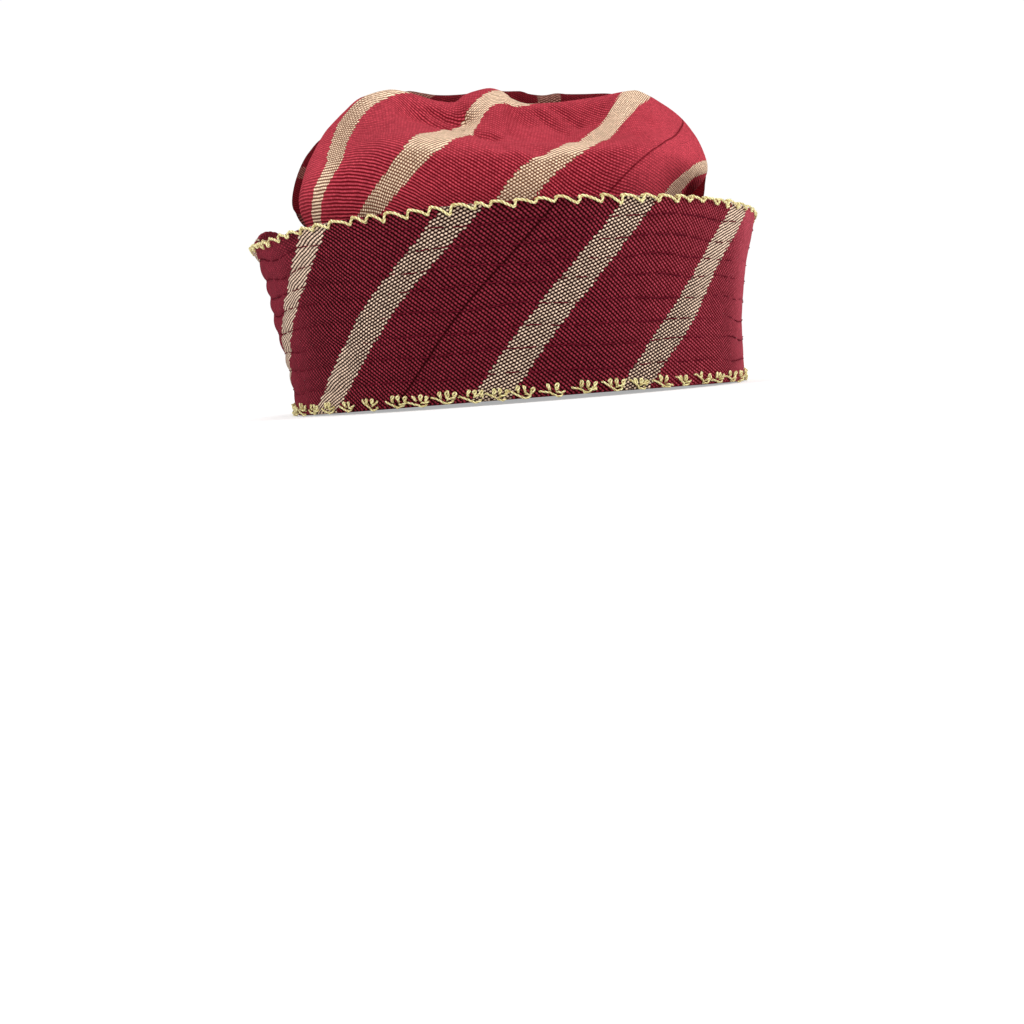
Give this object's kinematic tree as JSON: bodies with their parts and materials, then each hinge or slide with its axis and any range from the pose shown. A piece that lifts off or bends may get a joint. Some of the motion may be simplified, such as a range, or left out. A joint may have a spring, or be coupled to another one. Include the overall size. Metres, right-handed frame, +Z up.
{
  "type": "fila cap",
  "caption": "Soft cloth fila cap: a tall quilted turn-up band flares to an oval rim round a folded crown with two lobes and a sunken top seam. Crimson with slanting cream stripes.",
  "frame": {"origin": "under the middle of the rim, on the surface that the cap rests on", "axes": "+X towards the front of the cap, +Z up, -Y towards the side that the picture shows"},
  "size_m": [0.227, 0.1932, 0.1428],
  "materials": {
    "crown_cloth": "matt handwoven cloth, crimson with slanting cream stripes",
    "cuff_cloth": "matt handwoven cloth, quilted in rows, deep crimson with slanting cream stripes",
    "gold_thread": "satin pale gold embroidery thread",
    "quilting_thread": "matt dark red sewing thread"
  },
  "bodies": {
    "root": {"crown": "crown_cloth", "cuff": "cuff_cloth"}
  },
  "joints": []
}
